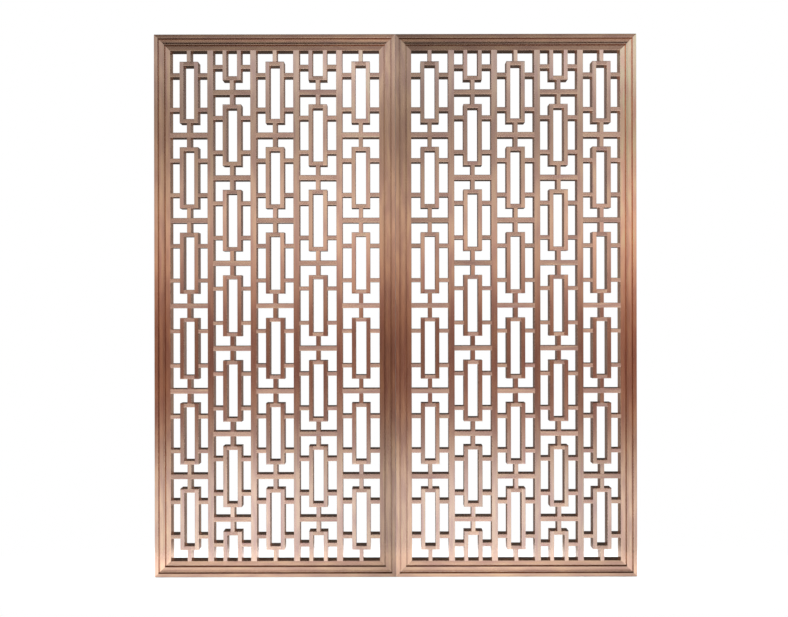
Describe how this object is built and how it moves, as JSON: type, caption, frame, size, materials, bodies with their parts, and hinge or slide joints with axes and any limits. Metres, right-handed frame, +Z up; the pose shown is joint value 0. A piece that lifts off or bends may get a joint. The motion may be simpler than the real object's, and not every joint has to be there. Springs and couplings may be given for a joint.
{
  "type": "metal lattice partition screen",
  "caption": "Tall floor-to-ceiling room divider of rose gold box tube: framed lattice panels of upright rectangular rings, set side by side between stepped, mitred frames.",
  "frame": {"origin": "floor level, in the middle of the screen's underside, where it is fixed to the floor", "axes": "+X along the screen to the right as seen from the front, +Y through its depth from front to back, +Z up"},
  "size_m": [2.3998, 0.06, 2.7],
  "materials": {
    "frame": "satin brushed rose gold, colour-coated stainless steel",
    "upright": "satin brushed rose gold, colour-coated stainless steel",
    "infill": "satin brushed rose gold, colour-coated stainless steel"
  },
  "bodies": {
    "root": {"left_panel_frame_bottom": "frame", "left_panel_frame_left": "frame", "left_panel_frame_top": "frame", "left_panel_frame_right": "frame", "left_panel_upright_1": "upright", "left_panel_upright_2": "upright", "left_panel_upright_3": "upright", "left_panel_upright_4": "upright", "left_panel_infill_1": "infill", "left_panel_infill_2": "infill", "left_panel_infill_3": "infill", "left_panel_infill_4": "infill", "left_panel_infill_5": "infill", "right_panel_frame_bottom": "frame", "right_panel_frame_left": "frame", "right_panel_frame_top": "frame", "right_panel_frame_right": "frame", "right_panel_upright_1": "upright", "right_panel_upright_2": "upright", "right_panel_upright_3": "upright", "right_panel_upright_4": "upright", "right_panel_infill_1": "infill", "right_panel_infill_2": "infill", "right_panel_infill_3": "infill", "right_panel_infill_4": "infill", "right_panel_infill_5": "infill"}
  },
  "joints": []
}
